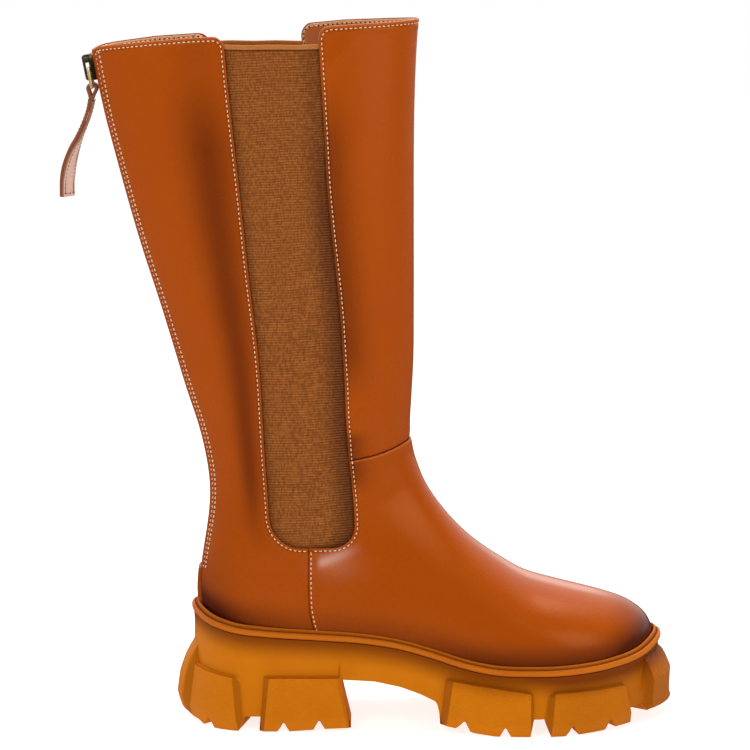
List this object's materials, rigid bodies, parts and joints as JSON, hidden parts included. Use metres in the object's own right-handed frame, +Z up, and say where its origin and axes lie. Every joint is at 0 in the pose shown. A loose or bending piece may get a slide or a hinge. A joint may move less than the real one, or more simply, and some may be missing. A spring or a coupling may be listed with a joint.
{
  "type": "mid-calf boot",
  "caption": "Mid-calf pull-on boot for the right foot: tan leather shaft with elastic side gores, back zip with a strap pull, and a chunky notched lug sole.",
  "frame": {"origin": "on the floor, at the middle of the heel's tread", "axes": "+X towards the toe, +Z up the shaft, -Y to the outer (lateral) side of this right boot"},
  "size_m": [0.3481, 0.1104, 0.3999],
  "materials": {
    "sole_rubber": "satin, moulded, honey caramel",
    "welt_rubber": "satin, moulded, amber brown",
    "insole_leather": "matt, unfinished",
    "upper_leather": "waxed and burnished, half gloss",
    "tab_leather": "waxed, half gloss",
    "gore_elastic": "matt ribbed elastic",
    "zip_tape_fabric": "matt woven",
    "zip_coil_nylon": "satin",
    "slider_brass": "antique, satin",
    "pull_brass": "polished gilt",
    "strap_leather": "satin, raw edges"
  },
  "bodies": {
    "boot": {"outsole": "sole_rubber", "welt": "welt_rubber", "insole": "insole_leather", "upper": "upper_leather", "heel_tab": "tab_leather", "gore_outer": "gore_elastic", "gore_inner": "gore_elastic", "zip_tape": "zip_tape_fabric", "zip_coil": "zip_coil_nylon", "zip_slider": "slider_brass"},
    "pull": {"zip_pull": "pull_brass", "pull_strap": "strap_leather"}
  },
  "joints": [
    {"name": "zip_pull_swing", "type": "hinge", "parent": "boot", "child": "pull", "pos_m": [-0.0968, 0, 0.3723], "axis": [0, 1, 0], "range_deg": [-2, 150]}
  ]
}
